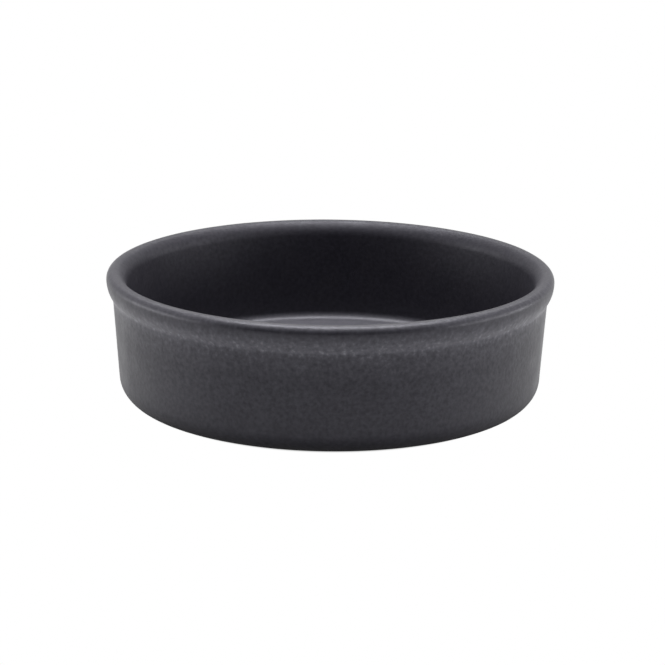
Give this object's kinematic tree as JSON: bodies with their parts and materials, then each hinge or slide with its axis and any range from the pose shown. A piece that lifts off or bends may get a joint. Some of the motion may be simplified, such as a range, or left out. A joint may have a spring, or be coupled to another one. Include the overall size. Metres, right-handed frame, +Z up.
{
  "type": "tapas dish",
  "caption": "Round straight-sided tapas dish in dark graphite matt glazed stoneware, with a rolled lip, a slightly drafted wall and a bare turned foot ring.",
  "frame": {"origin": "centre of the circle that the foot ring stands on", "axes": "+Z up, along the axis that the dish was turned on"},
  "size_m": [0.145, 0.145, 0.043],
  "materials": {
    "graphite_glaze": "matt to satin reactive glaze, dark graphite grey with a fine pebbled surface",
    "fired_clay": "bare fired stoneware, wiped and ground smooth"
  },
  "bodies": {
    "root": {"stoneware_body": "fired_clay", "glaze_coat": "graphite_glaze", "underside_glaze": "graphite_glaze"}
  },
  "joints": []
}
